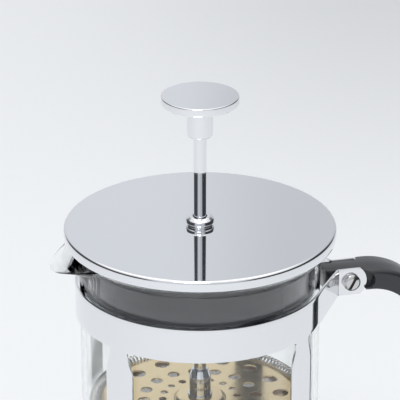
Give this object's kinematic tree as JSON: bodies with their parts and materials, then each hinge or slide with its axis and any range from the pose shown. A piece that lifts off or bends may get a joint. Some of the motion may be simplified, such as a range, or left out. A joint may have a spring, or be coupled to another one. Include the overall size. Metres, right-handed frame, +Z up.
{
  "type": "french press",
  "caption": "Glass coffee press with a steel frame, black loop handle, flat polished lid and a disc-topped plunger that drives a perforated filter.",
  "frame": {"origin": "on the beaker's axis, at the level of the surface the press stands on", "axes": "+Z up along the beaker's axis, +X towards the handle, the spout points along -X"},
  "size_m": [0.1594, 0.108, 0.2196],
  "materials": {
    "polished_steel": "mirror-polished stainless steel",
    "sheet_steel": "bright rolled stainless sheet",
    "screw_steel": "turned steel",
    "filter_steel": "satin stainless sheet",
    "coil_wire": "drawn wire",
    "woven_screen": "fine woven wire",
    "beaker_glass": "clear fire-polished borosilicate",
    "lid_plastic": "glossy moulded",
    "handle_plastic": "satin moulded"
  },
  "bodies": {
    "frame": {"frame_cage": "sheet_steel", "lower_band": "sheet_steel", "base_ring": "sheet_steel", "handle": "handle_plastic", "upper_clamp_screw": "screw_steel", "upper_clamp_nut": "screw_steel", "lower_clamp_screw": "screw_steel", "lower_clamp_nut": "screw_steel"},
    "beaker": {"glass_beaker": "beaker_glass"},
    "lid_core": {"guide_bush": "polished_steel", "guide_nut": "polished_steel"},
    "lid": {"lid_cap": "polished_steel", "lid_insert": "lid_plastic"},
    "rod": {"plunger_rod": "polished_steel"},
    "plunger": {"knob_hub": "polished_steel", "knob_disc": "polished_steel", "filter_hub": "polished_steel", "filter_plate": "filter_steel", "edge_coil": "coil_wire", "mesh_screen": "woven_screen", "cross_plate": "filter_steel"}
  },
  "joints": [
    {"name": "beaker_lift", "type": "slide", "parent": "frame", "child": "beaker", "axis": [0, 0, 1], "range_m": [0, 0.15]},
    {"name": "lid_lift", "type": "slide", "parent": "beaker", "child": "lid_core", "axis": [0, 0, 1], "range_m": [0, 0.12]},
    {"name": "lid_turn", "type": "hinge", "parent": "lid_core", "child": "lid", "pos_m": [0, 0, 0.165], "axis": [0, 0, 1], "continuous": true},
    {"name": "plunger_slide", "type": "slide", "parent": "lid_core", "child": "rod", "axis": [0, 0, 1], "range_m": [-0.034, 0.049]},
    {"name": "plunger_turn", "type": "hinge", "parent": "rod", "child": "plunger", "pos_m": [0, 0, 0.2], "axis": [0, 0, 1], "continuous": true}
  ]
}
